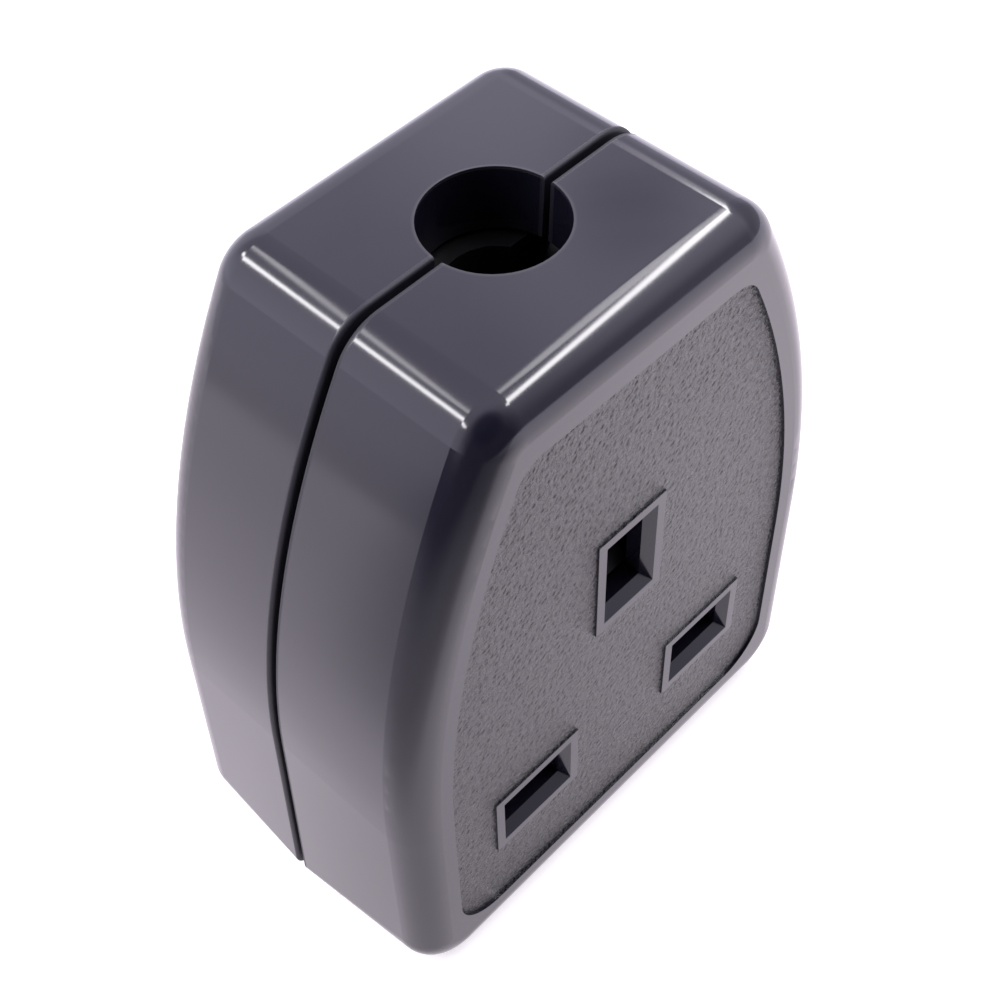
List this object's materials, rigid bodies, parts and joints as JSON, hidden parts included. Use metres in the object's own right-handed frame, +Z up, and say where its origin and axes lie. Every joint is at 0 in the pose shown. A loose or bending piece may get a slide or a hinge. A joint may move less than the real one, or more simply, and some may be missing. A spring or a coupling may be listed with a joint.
{
  "type": "rewireable trailing socket",
  "caption": "Hand-held trailing power socket with flat-pin slots, a sprung safety shutter and a cord hole in its narrow end, parted into a front and a rear half.",
  "frame": {"origin": "centre of the bounding box at the flat foot", "axes": "+X to the right seen from the face, +Y from the face to the back, +Z up to the cord hole"},
  "size_m": [0.0516, 0.0314, 0.0679],
  "materials": {
    "case_plastic": "gloss black moulding",
    "shutter_plastic": "satin black moulding",
    "inner_plastic": "dark matte moulding",
    "contact_brass": "rolled strip",
    "terminal_brass": "machined",
    "plated_steel": "zinc plated",
    "spring_steel": "drawn wire and strip"
  },
  "bodies": {
    "case": {"front_housing": "case_plastic", "rear_cover": "case_plastic", "contact_carrier": "inner_plastic", "line_contact": "contact_brass", "neutral_contact": "contact_brass", "earth_contact": "contact_brass", "line_terminal": "terminal_brass", "neutral_terminal": "terminal_brass", "earth_terminal": "terminal_brass", "terminal_screws": "plated_steel", "contact_rivets": "terminal_brass", "line_jaw_clip": "spring_steel", "neutral_jaw_clip": "spring_steel", "earth_jaw_clip": "spring_steel", "carrier_screws": "plated_steel", "cord_clamp": "inner_plastic", "cord_clamp_screws": "plated_steel", "case_screws": "plated_steel", "case_inserts": "terminal_brass", "shutter_spring": "spring_steel"},
    "shutter": {"shutter": "shutter_plastic"}
  },
  "joints": [
    {"name": "shutter_slide", "type": "slide", "parent": "case", "child": "shutter", "axis": [0, 0, -1], "range_m": [0, 0.0059], "stiffness_N_per_m": 120, "springref_m": -0.005, "deforming": ["shutter_spring"]}
  ]
}
